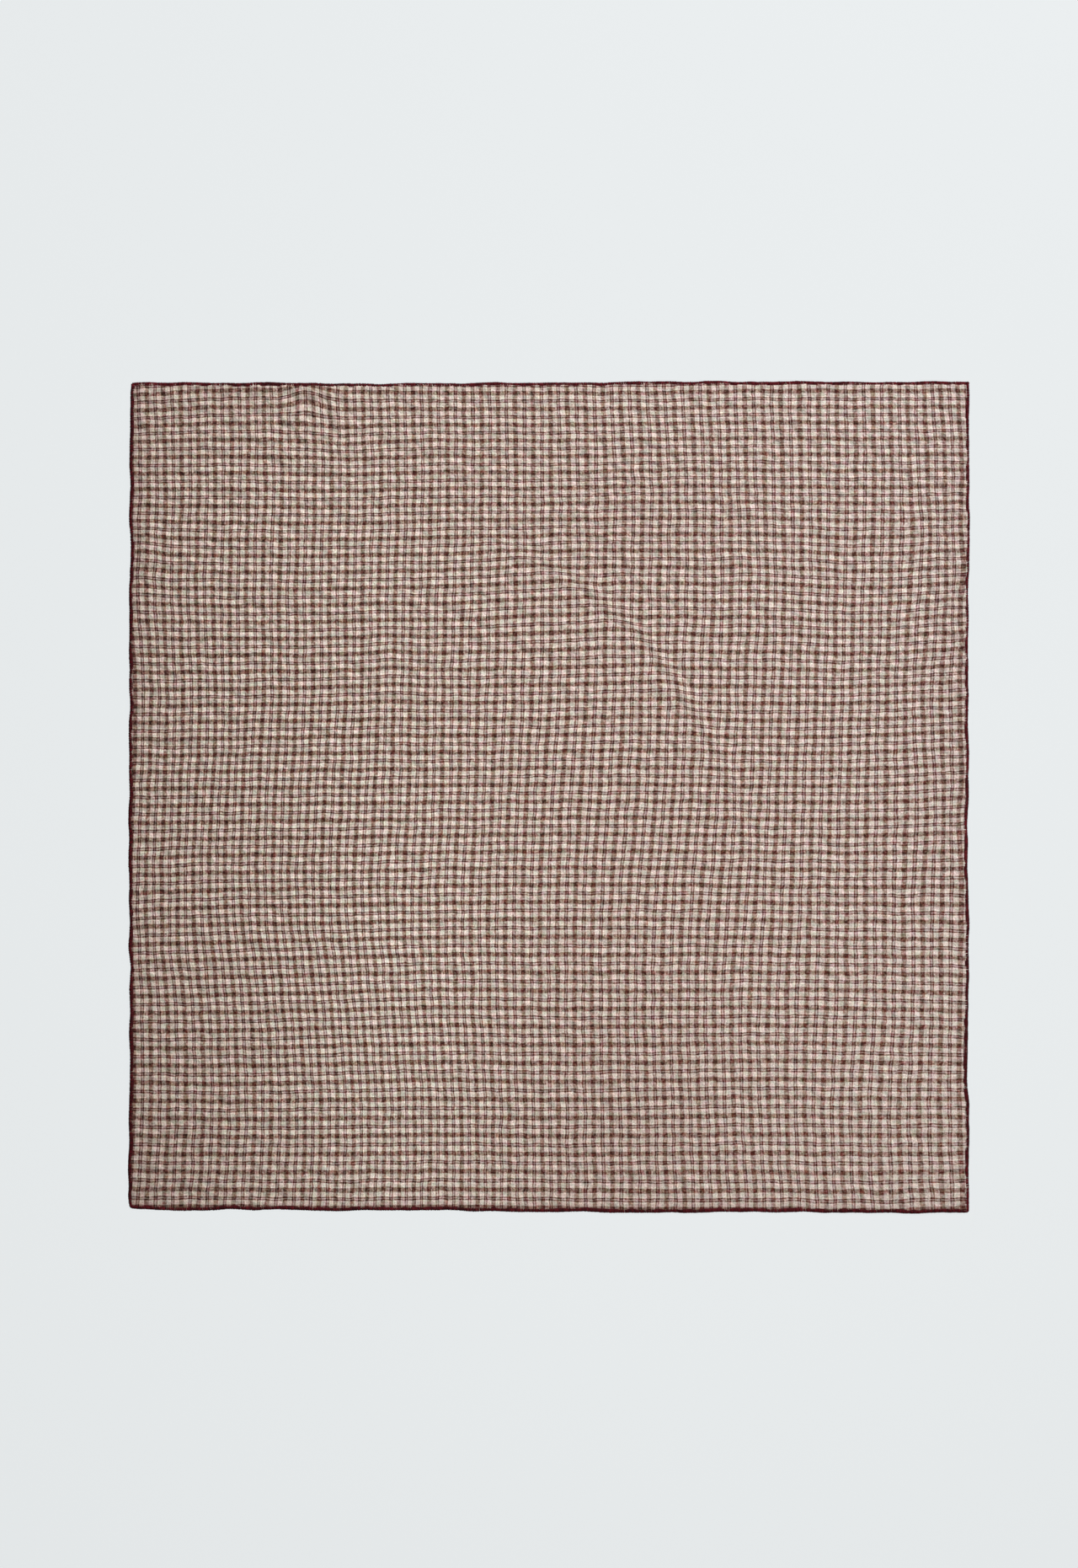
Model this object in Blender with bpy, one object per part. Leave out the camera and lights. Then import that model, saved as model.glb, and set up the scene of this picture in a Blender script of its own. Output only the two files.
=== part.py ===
"""A square cotton scarf laid out flat on a level surface.

One piece of thin checked cotton cloth, cut square, whose four raw edges are rolled under and
oversewn into one narrow rounded hem. The hem is part of the cloth, so the scarf is one solid.

Units are metres, +Z is up. +X runs along the width of the cloth and +Y along its length.
The origin is the centre of the scarf's box, on the surface that it lies on (z = 0).
Where the cloth lies down, its underside is exactly flat at z = 0. Where it is creased or
puckered it lifts off the surface as a soft ridge, and its thickness goes with it.
"""

import math

import bmesh
import bpy
from mathutils import Vector
from mathutils.geometry import delaunay_2d_cdt

MM = 0.001

# ---- main sizes, in millimetres -------------------------------------------------------------
WIDTH = 701.0  # along X, over the hems
LENGTH = 693.0  # along Y, over the hems
CLOTH = 1.3  # thickness of the sheet as modelled
GRID = 27.0  # spacing of the points where the cloth lies flat
STATION = 7.5  # spacing of the points along a crease
HEM_STEP = 4.5  # spacing of the points along the hem where a crease runs into it
HEM_SKIP = 4  # on a flat stretch of hem, every fourth point is kept
CLEAR = 9.0  # the flat points keep this far from the hem

# ---- hem: section of the rolled edge, from its outermost line inwards -----------------------
# how far in from the outline, height above the underside
HEM_TOP = (
    # inset, height
    (0.00, 0.85),
    (0.45, 1.55),
    (1.60, 1.90),
    (2.75, 1.65),
    (3.30, CLOTH),
)
HEM_UNDER = (
    # inset, height
    (0.50, 0.00),
    (3.30, 0.00),
)

# ---- outline: each corner's place, relative to the plain rectangle ---------------------------
# The scarf is laid by hand, so that its corners aren't quite square, and the corner of the
# rolled hem is drawn in by the turn of its stitches.
CORNERS = {
    # corner: (shift in X, shift in Y, drawn in along the diagonal)
    "near_left": (0.3, 3.6, 1.6),
    "near_right": (-0.6, 0.0, 0.5),
    "far_left": (2.4, -1.6, 1.2),
    "far_right": (-0.3, -0.4, 0.2),
}
CORNER_TURN = 5.0  # length of hem over which the corner is drawn in

# ---- outline: where the hem is drawn in (+) or eased out (-) ----------------------------------
HEM_WAVES = (
    # side, centre along it, half length, drawn in
    ("left", 207.0, 26.0, 1.0),
    ("left", 120.0, 60.0, -0.5),
    ("left", -142.0, 24.0, 1.2),
    ("left", -60.0, 45.0, -0.6),
    ("left", -240.0, 60.0, 0.5),
    ("right", 236.0, 18.0, -0.7),
    ("right", 130.0, 80.0, 0.9),
    ("right", -25.0, 22.0, 1.3),
    ("right", -110.0, 45.0, -0.4),
    ("right", -225.0, 30.0, 1.2),
    ("far", -245.0, 22.0, -0.6),
    ("far", -150.0, 60.0, 1.2),
    ("far", 40.0, 50.0, 0.6),
    ("far", 205.0, 40.0, -0.3),
    ("near", -290.0, 30.0, -0.8),
    ("near", -220.0, 30.0, 0.7),
    ("near", -95.0, 40.0, -0.4),
    ("near", 20.0, 50.0, 0.6),
    ("near", 250.0, 50.0, 0.3),
)
RIPPLE = (
    # wavelength, depth: the hem's own small waver
    (61.0, 0.30),
    (37.0, 0.22),
)

# ---- folds: soft ridges where the cloth lifts --------------------------------------------------
# Each runs on one arc through a start, a middle and an end. It is as wide as twice half_width,
# and it grows over the share `grow` of its length at the start and dies over `die` at the end.
FOLDS = (
    # name, start, middle, end, half_width, height, grow, die
    ("long crease, far part", (-54, 220), (53, 158), (124, 67), 12.0, 1.3, 0.55, 0.0),
    ("long crease, near part", (124, 67), (160, -10), (196, -130), 12.0, 1.3, 0.0, 0.95),
    ("left crease", (-149, 250), (-149, 130), (-118, 10), 10.0, 0.9, 0.45, 0.4),
    ("left crease, its follower", (-112, 240), (-108, 120), (-97, -8), 10.0, 0.55, 0.4, 0.4),
    ("right crease", (208, 245), (211, 160), (207, 78), 10.0, 0.6, 0.4, 0.4),
    ("right roll", (300, 250), (290, 110), (272, -30), 14.0, 0.8, 0.4, 0.5),
    ("right hem lifting", (350, 212), (348, 90), (350, -80), 24.0, 0.9, 0.3, 0.6),
    ("right pucker", (350, 197), (338, 186), (318, 171), 8.0, 0.8, 0.0, 0.7),
    ("far hem pucker", (-232, 341), (-192, 339), (-138, 327), 9.0, 1.2, 0.4, 0.6),
    ("far hem pucker, lower", (-222, 316), (-190, 321), (-150, 306), 8.0, 0.6, 0.5, 0.5),
    ("left hem pucker", (-338, 236), (-335, 205), (-343, 176), 8.0, 1.2, 0.5, 0.4),
    ("left hem pucker, branch", (-331, 215), (-308, 204), (-282, 190), 8.0, 0.6, 0.3, 0.7),
    ("left pull, lower", (-349, -190), (-328, -175), (-312, -136), 8.0, 0.9, 0.0, 0.6),
    ("left pull, upper", (-342, -112), (-326, -130), (-310, -156), 8.0, 0.7, 0.4, 0.4),
    ("left pull, inner", (-292, -118), (-278, -136), (-262, -156), 8.0, 0.5, 0.5, 0.5),
    ("middle wrinkle", (-78, 44), (-66, 4), (-44, -42), 9.0, 0.7, 0.4, 0.5),
    ("middle wrinkle, right", (-50, 6), (-24, -40), (6, -70), 9.0, 0.5, 0.5, 0.5),
    ("low wrinkle", (-140, -52), (-130, -86), (-112, -122), 12.0, 0.5, 0.5, 0.5),
    ("near left roll", (-345, -312), (-300, -318), (-250, -314), 14.0, 0.8, 0.5, 0.5),
)


def smooth(x):
    """0 to 1 with level ends."""
    x = max(0.0, min(1.0, x))
    return x * x * (3.0 - 2.0 * x)


def hump(distance, half_width):
    """1 on the line, 0 from half_width away, level at both."""
    if abs(distance) >= half_width:
        return 0.0
    return math.cos(0.5 * math.pi * distance / half_width) ** 2


def arc(start, middle, end, t):
    """The parabola through three points, at t from 0 to 1."""
    a, b, c = (1 - t) * (1 - 2 * t), 4 * t * (1 - t), t * (2 * t - 1)
    return (
        a * start[0] + b * middle[0] + c * end[0],
        a * start[1] + b * middle[1] + c * end[1],
    )


def arc_points(start, middle, end, count):
    return [Vector(arc(start, middle, end, i / count)) for i in range(count + 1)]


def length_of(points):
    return sum((b - a).length for a, b in zip(points, points[1:]))


def nearest(points, place):
    """(distance, share of the length) of the nearest place on a line of points."""
    best, at, run, total = 1e9, 0.0, 0.0, length_of(points)
    for a, b in zip(points, points[1:]):
        step = b - a
        u = max(0.0, min(1.0, (place - a).dot(step) / step.length_squared))
        distance = (place - a - u * step).length
        if distance < best:
            best, at = distance, (run + u * step.length) / total
        run += step.length
    return best, at


LINES = [arc_points(f[1], f[2], f[3], 16) for f in FOLDS]


def lift(x, y):
    """How far the underside is off the surface at a place, in millimetres."""
    place, high = Vector((x, y)), 0.0
    for (_, _, _, _, half_width, height, grow, die), line in zip(FOLDS, LINES):
        distance, share = nearest(line, place)
        if distance >= half_width:
            continue
        along = 1.0
        if grow:
            along *= smooth(share / grow)
        if die:
            along *= smooth((1 - share) / die)
        high = max(high, height * along * hump(distance, half_width))
    return high


def ripple(along):
    return sum(
        depth * math.sin(2 * math.pi * along / wave + 1.3 * i)
        for i, (wave, depth) in enumerate(RIPPLE)
    )


def drawn_in(side, along):
    """How far in from its straight line the hem lies, at a place along a side."""
    total = ripple(along + {"left": 0, "right": 17, "far": 31, "near": 47}[side])
    for name, centre, half_length, depth in HEM_WAVES:
        if name == side:
            total += depth * hump(along - centre, half_length)
    return total


def place_of(s, t):
    """Where a point of the cloth lies: s across from the left hem and t up from the near hem, of the plain rectangle."""
    across, up = s / WIDTH, t / LENGTH
    x, y = s - WIDTH / 2, t - LENGTH / 2
    weight = {
        "near_left": (1 - across) * (1 - up),
        "near_right": across * (1 - up),
        "far_left": (1 - across) * up,
        "far_right": across * up,
    }
    dx = sum(CORNERS[c][0] * w for c, w in weight.items())
    dy = sum(CORNERS[c][1] * w for c, w in weight.items())
    # The hem's waver dies out over the first centimetres of cloth, and at the corners.
    fade = {"left": s, "right": WIDTH - s, "near": t, "far": LENGTH - t}
    keep_x = smooth(min(t, LENGTH - t) / 30.0)
    keep_y = smooth(min(s, WIDTH - s) / 30.0)
    dx += drawn_in("left", y) * math.exp(-fade["left"] / 18.0) * keep_x
    dx -= drawn_in("right", y) * math.exp(-fade["right"] / 18.0) * keep_x
    dy += drawn_in("near", x) * math.exp(-fade["near"] / 18.0) * keep_y
    dy -= drawn_in("far", x) * math.exp(-fade["far"] / 18.0) * keep_y
    for corner, (_, _, pull) in CORNERS.items():
        from_x = fade["left"] if "left" in corner else fade["right"]
        from_y = fade["near"] if "near" in corner else fade["far"]
        near = pull * math.exp(-math.hypot(from_x, from_y) / CORNER_TURN)
        dx += near if "left" in corner else -near
        dy += near if "near" in corner else -near
    return x + dx, y + dy


def hem_stations():
    """(side, share) round the outline, anticlockwise from the near left corner. A share of 0 is a corner."""
    found = []
    for side in ("near", "right", "far", "left"):
        span = WIDTH if side in ("near", "far") else LENGTH
        count = round(span / HEM_STEP)
        high = [lift(*place_of(*on_ring(side, i / count, 2.0))) > 0.05 for i in range(count + 1)]
        for i in range(count):
            near_fold = any(high[max(0, i - 1) : i + 2])
            if i in (0, 2, count - 2) or near_fold or (i % HEM_SKIP == 0 and 2 < i < count - 2):
                found.append((side, i / count))
    return found


def on_ring(side, share, inset):
    """The cloth place (s, t) of a hem station on the ring that runs `inset` inside the outline."""
    a = inset + share * (WIDTH - 2 * inset)
    b = inset + share * (LENGTH - 2 * inset)
    return {
        "near": (a, inset),
        "right": (WIDTH - inset, b),
        "far": (WIDTH - a, LENGTH - inset),
        "left": (inset, LENGTH - b),
    }[side]


def inner_points(ring):
    """Places inside the hem: rows along and beside every fold, and an open grid where the cloth is flat."""
    kept = [Vector(p) for p in ring]
    first_inner = len(kept)

    def add(place, apart):
        inside = abs(place.x) < WIDTH / 2 - CLEAR + 2 and abs(place.y) < LENGTH / 2 - CLEAR + 1
        if inside and all((place - k).length > apart for k in kept):
            kept.append(place)

    for (_, _, _, _, half_width, _, _, _), line in zip(FOLDS, LINES):
        stations = max(3, round(length_of(line) / STATION))
        for i in range(stations + 1):
            at = i / stations * (len(line) - 1)
            k = min(int(at), len(line) - 2)
            a, b = line[k], line[k + 1]
            ahead = (b - a).normalized()
            aside = Vector((-ahead.y, ahead.x))
            for share in (0.0, -0.5, 0.5, -1.0, 1.0):
                add(a + (at - k) * (b - a) + share * half_width * aside, 3.6)
    rows_x, rows_y = round(WIDTH / GRID), round(LENGTH / GRID)
    for j in range(1, rows_y):
        for i in range(1, rows_x):
            shift = 0.25 if j % 2 else -0.25
            x = ((i + shift) / rows_x - 0.5) * WIDTH
            y = (j / rows_y - 0.5) * LENGTH
            add(Vector((x, y)), 9.0)
    return kept[first_inner:]


def clear_scene():
    for thing in list(bpy.data.objects):
        bpy.data.objects.remove(thing, do_unlink=True)


def material(name, colour, roughness):
    made = bpy.data.materials.new(name)
    made.use_nodes = True
    shader = made.node_tree.nodes["Principled BSDF"]
    shader.inputs["Base Color"].default_value = (*colour, 1.0)
    shader.inputs["Roughness"].default_value = roughness
    shader.inputs["Metallic"].default_value = 0.0
    return made


def build_scarf():
    stations = hem_stations()
    count = len(stations)

    def ring(inset, height):
        flat = [place_of(*on_ring(side, share, inset)) for side, share in stations]
        return [(x, y, height + lift(x, y)) for x, y in flat]

    top_rings = [ring(inset, height) for inset, height in HEM_TOP]
    under_rings = [ring(inset, height) for inset, height in HEM_UNDER]

    # The box of the outline is centred on the origin.
    outer = top_rings[0]
    shift_x = (max(p[0] for p in outer) + min(p[0] for p in outer)) / 2
    shift_y = (max(p[1] for p in outer) + min(p[1] for p in outer)) / 2

    inner = inner_points([p[:2] for p in top_rings[-1]])
    flat = [Vector(p[:2]) for p in top_rings[-1]] + inner
    loop = [list(range(count))]
    verts, _, faces, sources, _, _ = delaunay_2d_cdt(flat, [], loop, 1, 1e-4)
    first = [s[0] for s in sources]

    mesh = bmesh.new()

    def point(x, y, z):
        return mesh.verts.new(((x - shift_x) * MM, (y - shift_y) * MM, z * MM))

    tops = [[point(*p) for p in row] for row in top_rings]
    unders = [[point(*p) for p in row] for row in under_rings]
    upper, lower = {}, {}
    for i, place in enumerate(verts):
        if first[i] < count:
            upper[i], lower[i] = tops[-1][first[i]], unders[-1][first[i]]
        else:
            high = lift(place.x, place.y)
            upper[i] = point(place.x, place.y, high + CLOTH)
            lower[i] = point(place.x, place.y, high)
    for face in faces:
        mesh.faces.new([upper[i] for i in face])
        mesh.faces.new([lower[i] for i in reversed(face)])

    strips = [*zip(tops, tops[1:]), (tops[0], unders[0]), (unders[0], unders[1])]
    for k, (outer_row, inner_row) in enumerate(strips):
        for i in range(count):
            j = (i + 1) % count
            quad = [outer_row[i], outer_row[j], inner_row[j], inner_row[i]]
            made = mesh.faces.new(quad if k < len(tops) - 1 else quad[::-1])
            made.material_index = 1
            made.smooth = True
    bmesh.ops.recalc_face_normals(mesh, faces=mesh.faces)

    data = bpy.data.meshes.new("scarf")
    mesh.to_mesh(data)
    mesh.free()
    scarf = bpy.data.objects.new("scarf", data)
    data.materials.append(material("checked cotton", (0.33, 0.235, 0.195), 0.9))
    data.materials.append(material("hem thread", (0.085, 0.012, 0.018), 0.7))
    bpy.context.scene.collection.objects.link(scarf)
    return scarf


clear_scene()
build_scarf()
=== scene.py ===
"""Looks of the square cotton scarf: the checked cloth in its creases, and its burgundy oversewn hem.

Every length in a table is in millimetres, in the model's own frame: +X along the scarf's width, +Y along
its length, origin at the middle of its box on the surface that it lies on. Meshes are made in metres.
"""

import math

import bpy
import numpy as np
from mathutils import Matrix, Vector


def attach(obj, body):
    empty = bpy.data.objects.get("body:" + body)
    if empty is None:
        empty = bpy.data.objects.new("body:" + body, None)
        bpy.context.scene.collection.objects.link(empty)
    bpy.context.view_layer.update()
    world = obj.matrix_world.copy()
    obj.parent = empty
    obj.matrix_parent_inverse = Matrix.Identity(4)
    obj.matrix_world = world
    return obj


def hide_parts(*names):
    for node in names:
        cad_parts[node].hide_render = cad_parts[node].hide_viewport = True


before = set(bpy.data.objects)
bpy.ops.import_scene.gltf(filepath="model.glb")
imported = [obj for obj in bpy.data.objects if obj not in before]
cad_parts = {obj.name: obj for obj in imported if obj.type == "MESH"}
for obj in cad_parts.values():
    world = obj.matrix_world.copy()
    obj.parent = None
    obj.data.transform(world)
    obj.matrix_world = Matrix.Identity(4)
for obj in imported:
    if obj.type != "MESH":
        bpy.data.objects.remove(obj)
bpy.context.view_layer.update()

MM = 0.001

# ------------------------------------------------------------------------------------------------
# sizes, as the solid has them
# ------------------------------------------------------------------------------------------------
WIDTH = 701.0
LENGTH = 693.0
THICK = 0.45  # the cotton itself
CELLS_X = 99  # cells of the underside, each of which has three by three above it
CELLS_Y = 98
TUCKED = 1.3  # the sheet's edge runs this far in from the outline, inside the rolled hem
CORNERS = {
    # corner: (shift in X, shift in Y, drawn in along the diagonal)
    "near_left": (0.3, 3.6, 1.6),
    "near_right": (-0.6, 0.0, 0.5),
    "far_left": (2.4, -1.6, 1.2),
    "far_right": (-0.3, -0.4, 0.2),
}
CORNER_TURN = 5.0
HEM_WAVES = (
    # side, centre along it, half length, drawn in
    ("left", 207.0, 26.0, 1.0),
    ("left", 120.0, 60.0, -0.5),
    ("left", -142.0, 24.0, 1.2),
    ("left", -60.0, 45.0, -0.6),
    ("left", -240.0, 60.0, 0.5),
    ("right", 236.0, 18.0, -0.7),
    ("right", 130.0, 80.0, 0.9),
    ("right", -25.0, 22.0, 1.3),
    ("right", -110.0, 45.0, -0.4),
    ("right", -225.0, 30.0, 1.2),
    ("far", -245.0, 22.0, -0.6),
    ("far", -150.0, 60.0, 1.2),
    ("far", 40.0, 50.0, 0.6),
    ("far", 205.0, 40.0, -0.3),
    ("near", -290.0, 30.0, -0.8),
    ("near", -220.0, 30.0, 0.7),
    ("near", -95.0, 40.0, -0.4),
    ("near", 20.0, 50.0, 0.6),
    ("near", 250.0, 50.0, 0.3),
)
RIPPLE = (
    # wavelength, depth
    (61.0, 0.30),
    (37.0, 0.22),
)
HEM_OUT = {
    # how much further out the hem itself lies than the solid's plain edge: (place along the side, out)
    "left": (
        (-345, 0.9), (-280, 0.7), (-235, 0.3), (-180, -0.1), (-125, 1.2), (-74, 0.1), (-45, 1.2),
        (60, 1.3), (103, 0.7), (135, 1.4), (220, 1.5), (310, 1.5), (345, 1.1),
    ),
    "near": (
        (-345, 1.3), (-314, 1.6), (-260, 0.5), (-220, 1.5), (-165, 1.3), (-105, 0.1), (-75, 0.2),
        (-40, 1.6), (30, 2.0), (105, 1.6), (170, 0.4), (225, 0.8), (270, 1.2), (320, 0.5), (345, 0.2),
    ),
    "right": (
        (-345, 0.4), (-255, 0.4), (-220, -0.5), (-133, 0.1), (-75, -0.6), (-45, -1.0), (-15, 0.0),
        (74, -0.5), (133, 0.4), (162, -0.3), (192, 0.3), (345, 0.2),
    ),
    "far": (
        (-345, 1.1), (-314, 0.7), (-280, 0.1), (-164, 0.0), (-134, 0.5), (-95, -0.6), (-45, -0.3),
        (20, 0.1), (50, 0.7), (165, 0.7), (200, -0.1), (225, 0.6), (255, -0.2), (345, 0.1),
    ),
}
FOLDS = (
    # name, start, middle, end, half_width, height, grow, die
    ("long crease, far part", (-54, 220), (53, 158), (124, 67), 8.0, 0.85, 0.55, 0.0),
    ("long crease, near part", (124, 67), (160, -10), (196, -130), 8.0, 0.85, 0.0, 0.95),
    ("left crease", (-149, 250), (-149, 130), (-118, 10), 10.0, 0.9, 0.45, 0.4),
    ("left crease, its follower", (-112, 240), (-108, 120), (-97, -8), 10.0, 0.55, 0.4, 0.4),
    ("right crease", (208, 245), (211, 160), (207, 78), 10.0, 0.6, 0.4, 0.4),
    ("right roll", (300, 250), (290, 110), (272, -30), 14.0, 0.8, 0.4, 0.5),
    ("right hem lifting", (350, 212), (348, 90), (350, -80), 24.0, 0.9, 0.3, 0.6),
    ("right pucker", (350, 197), (338, 186), (318, 171), 8.0, 0.8, 0.0, 0.7),
    ("far hem pucker", (-232, 341), (-192, 339), (-138, 327), 9.0, 2.0, 0.4, 0.6),
    ("far hem pucker, lower", (-222, 316), (-190, 321), (-150, 306), 8.0, 1.1, 0.5, 0.5),
    ("left hem pucker", (-338, 236), (-335, 205), (-343, 176), 8.0, 1.7, 0.5, 0.4),
    ("left hem pucker, branch", (-331, 215), (-308, 204), (-282, 190), 8.0, 0.9, 0.3, 0.7),
    ("left pull, lower", (-349, -190), (-328, -175), (-312, -136), 8.0, 1.3, 0.0, 0.6),
    ("left pull, upper", (-342, -112), (-326, -130), (-310, -156), 8.0, 1.0, 0.4, 0.4),
    ("left pull, inner", (-292, -118), (-278, -136), (-262, -156), 8.0, 0.7, 0.5, 0.5),
    ("middle wrinkle", (-78, 44), (-66, 4), (-44, -42), 9.0, 0.7, 0.4, 0.5),
    ("middle wrinkle, right", (-50, 6), (-24, -40), (6, -70), 9.0, 0.5, 0.5, 0.5),
    ("low wrinkle", (-140, -52), (-130, -86), (-112, -122), 12.0, 0.5, 0.5, 0.5),
    ("near left roll", (-345, -312), (-300, -318), (-250, -314), 14.0, 0.8, 0.5, 0.5),
)

# ------------------------------------------------------------------------------------------------
# how the cloth was smoothed out by hand: at each place, how far it lies from where an even, square
# lay would put it. Nine places across (left to right) and nine rows (far to near).
# ------------------------------------------------------------------------------------------------
LAY_ACROSS = (
    (-3, -5, -9, -11, -11, -9, -6, 0, -1),
    (-1, -4, -7, -10, -10, -5, -4, 1, 4.4),
    (-3, -6, -9, -12, -10, -6, -2, -1, 6.4),
    (2, -5, -9, -14, -11, -6, -5, -3, 1),
    (0, -9, -13, -15, -16, -9, -8, -5, 5),
    (-3, -10, -16, -19, -19, -16, -12, -6, 3),
    (0, -2, -8, -17, -19, -18, -16, -6, 2),
    (0, 1, -2, -12, -18, -16, -15, -10, 2),
    (-4, -3, -4, -12, -17, -14, -11, -8, 5),
)
LAY_UP = (
    (-5, 0, -1, -3, -3, -3, -1, -1, -1),
    (1, 1, 0, 2, 2, 4, 4, 3, 4),
    (4, 2, 3, 4, 8, 7, 7, 3, 8),
    (2, 3, 5, 5, 6, 8, 4, 5, 9),
    (3, 4, 5, 6, 7, 7, 6, 6, 10),
    (0, 3, 4, 6, 7, 7, 6, 5, 5),
    (-2, -1, 1, 3, 2, 2, 3, 2, 0),
    (-5, -6, -5, -4, -5, -4, -3, -4, -4),
    (-10, -10, -11, -10, -11, -12, -12, -13, -11),
)
LAY_X = (-349.0, 350.0)  # first and last of the places across
LAY_Y = (345.0, -346.0)  # first and last row
PULLS = (
    # place x, y, reach along x, y, shift across, shift up
    (-203, 334, 11, 11, 0.0, 6.0),
    (-167, 304, 22, 22, 0.0, -1.9),
    (-341, 208, 14, 14, 0.0, 2.5),
    (46, 137, 15, 15, 0.0, 2.0),
    (132, 154, 19, 50, 0.0, -1.0),
    (-127, 104, 13, 36, 0.0, 1.4),
    (-192, 125, 19, 50, 0.0, -1.2),
    (190, 106, 22, 22, 0.0, 1.2),
    (-284, 35, 13, 36, 2.0, 0.0),
    (344, 228, 9, 25, -3.6, 0.0),
    (343, 162, 6, 17, -3.8, 0.0),
    (344, -16, 9, 25, -3.6, 0.0),
    (308, 216, 9, 25, 2.6, 0.0),
    (306, -11, 13, 36, 1.8, 0.0),
    (125, 115, 20, 20, -1.6, 0.0),
    (-310, -130, 14, 14, -2.0, 0.0),
    (153, -50, 13, 36, 1.3, 0.0),
)
CREASE_GATHER = (
    # share of the long crease's length, cloth drawn towards it: across, up
    (0.0, 0.0, 0.6),
    (0.10, 0.05, 1.0),
    (0.22, 0.2, 1.35),
    (0.38, 0.45, 1.25),
    (0.52, 0.95, 0.8),
    (0.70, 0.85, 0.4),
    (0.90, 0.55, 0.05),
    (1.0, 0.1, 0.0),
)
GATHER_REACH = 8.5
WAVY = 0.045
GATHER_HIGH = 0.22
EDGE_WAVY = 0.035
FOLD_SHARE = 0.80
REPEAT = 14.4  # one repeat of the check, in the cloth
LAID_X = 14.32  # and how long it lies, before the shifts above
LAID_Y = 13.97
FIRST_X = 24.236  # repeats from the left hem to x = 0
FIRST_Y = 23.987  # repeats from the near hem to y = 0
YARNS = 23  # yarns in one repeat, warp and weft: 6 dark, 6 ecru, 2 dark, 1 ecru, 2 dark, 6 ecru
WARP_BAND_AT = 0.048  # where in the repeat the broad band is centred
WEFT_BAND_AT = 0.245

# ------------------------------------------------------------------------------------------------
# crinkle: the fine creasing that the cloth keeps from washing, as layers of low waves
# ------------------------------------------------------------------------------------------------
CRINKLE = (
    # wavelengths from, to, how steep the waves are, and how much further down to the right they slant
    (28.0, 42.0, 0.022, 22.0),
    (20.0, 28.0, 0.040, 18.0),
    (14.0, 20.0, 0.088, 10.0),
    (10.5, 14.0, 0.140, 0.0),
    (8.0, 10.5, 0.175, 0.0),
    (6.4, 8.0, 0.190, 0.0),
)
CRESTS = (
    # slant of the crests in degrees, how much it varies, and the share of the layer at the left and right
    (-6.0, 38.0, 1.0, 0.0),
    (-52.0, 36.0, 0.0, 1.0),
)
PAINTED_SHADE_PATCHES = (
    # x, y, reach along x, y, and painted shade: how much lighter or darker the cloth's colour is made there
    (-140, -250, 62, 110, 0.090),
    (-112, -70, 55, 90, 0.045),
    (-190, 215, 60, 60, 0.030),
    (-350, 0, 34, 500, -0.045),
    (-350, -340, 55, 60, -0.070),
    (-285, 345, 75, 30, -0.055),
    (60, -290, 50, 80, -0.055),
    (110, -215, 50, 45, -0.020),
    (300, -270, 110, 110, 0.068),
    (-350, -60, 120, 260, -0.030),
    (345, 130, 26, 170, -0.060),
    (85, 232, 75, 34, -0.045),
    (15, 290, 90, 30, 0.010),
    (150, -20, 60, 60, -0.012),
    (-350, 235, 11, 90, -0.120),
)
STRONGER = (
    # x, y, reach along x, y, how much stronger the stripes stand out there, as the cloth is less worn
    (-340, 60, 190, 230, 0.15),
    (330, -340, 170, 140, -0.16),
    (0, 0, 900, 900, 0.075),
)
HIGHEST = 1.05  # crinkle is soft-limited to this, up and down
MEAN_TOP = 1.45  # how high the cloth's upper face lies on average


# ================================================================================================
# shape functions, on whole arrays of places
# ================================================================================================
def smooth(x):
    x = np.clip(x, 0.0, 1.0)
    return x * x * (3.0 - 2.0 * x)


def hump(distance, half_width):
    inside = np.abs(distance) < half_width
    return np.where(inside, np.cos(0.5 * math.pi * distance / half_width) ** 2, 0.0)


def arc_points(start, middle, end, count=16):
    t = np.linspace(0, 1, count + 1)[:, None]
    a, b, c = (1 - t) * (1 - 2 * t), 4 * t * (1 - t), t * (2 * t - 1)
    return a * np.array(start) + b * np.array(middle) + c * np.array(end)


def nearest(line, x, y):
    """(distance, share of the length) of the nearest place on a line of points, for each place."""
    steps = np.diff(line, axis=0)
    lengths = np.hypot(steps[:, 0], steps[:, 1])
    total = lengths.sum()
    best = np.full(x.shape, 1e9)
    at = np.zeros(x.shape)
    run = 0.0
    for a, step, length in zip(line, steps, lengths):
        u = np.clip(((x - a[0]) * step[0] + (y - a[1]) * step[1]) / length**2, 0, 1)
        d = np.hypot(x - a[0] - u * step[0], y - a[1] - u * step[1])
        closer = d < best
        best = np.where(closer, d, best)
        at = np.where(closer, (run + u * length) / total, at)
        run += length
    return best, at


def lift(x, y):
    """How far the underside is off the surface because of the folds."""
    high = np.zeros(x.shape)
    for _, start, middle, end, half_width, height, grow, die in FOLDS:
        line = arc_points(start, middle, end)
        near = (
            (x > line[:, 0].min() - half_width)
            & (x < line[:, 0].max() + half_width)
            & (y > line[:, 1].min() - half_width)
            & (y < line[:, 1].max() + half_width)
        )
        if not near.any():
            continue
        distance, share = nearest(line, x[near], y[near])
        along = np.ones(distance.shape)
        if grow:
            along *= smooth(share / grow)
        if die:
            along *= smooth((1 - share) / die)
        part = high[near]
        high[near] = np.maximum(part, height * along * hump(distance, half_width))
    return high


def ripple(along):
    return sum(
        depth * np.sin(2 * math.pi * along / wave + 1.3 * i)
        for i, (wave, depth) in enumerate(RIPPLE)
    )


def drawn_in(side, along):
    total = ripple(along + {"left": 0, "right": 17, "far": 31, "near": 47}[side])
    for name, centre, half_length, depth in HEM_WAVES:
        if name == side:
            total = total + depth * hump(along - centre, half_length)
    return total


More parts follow.
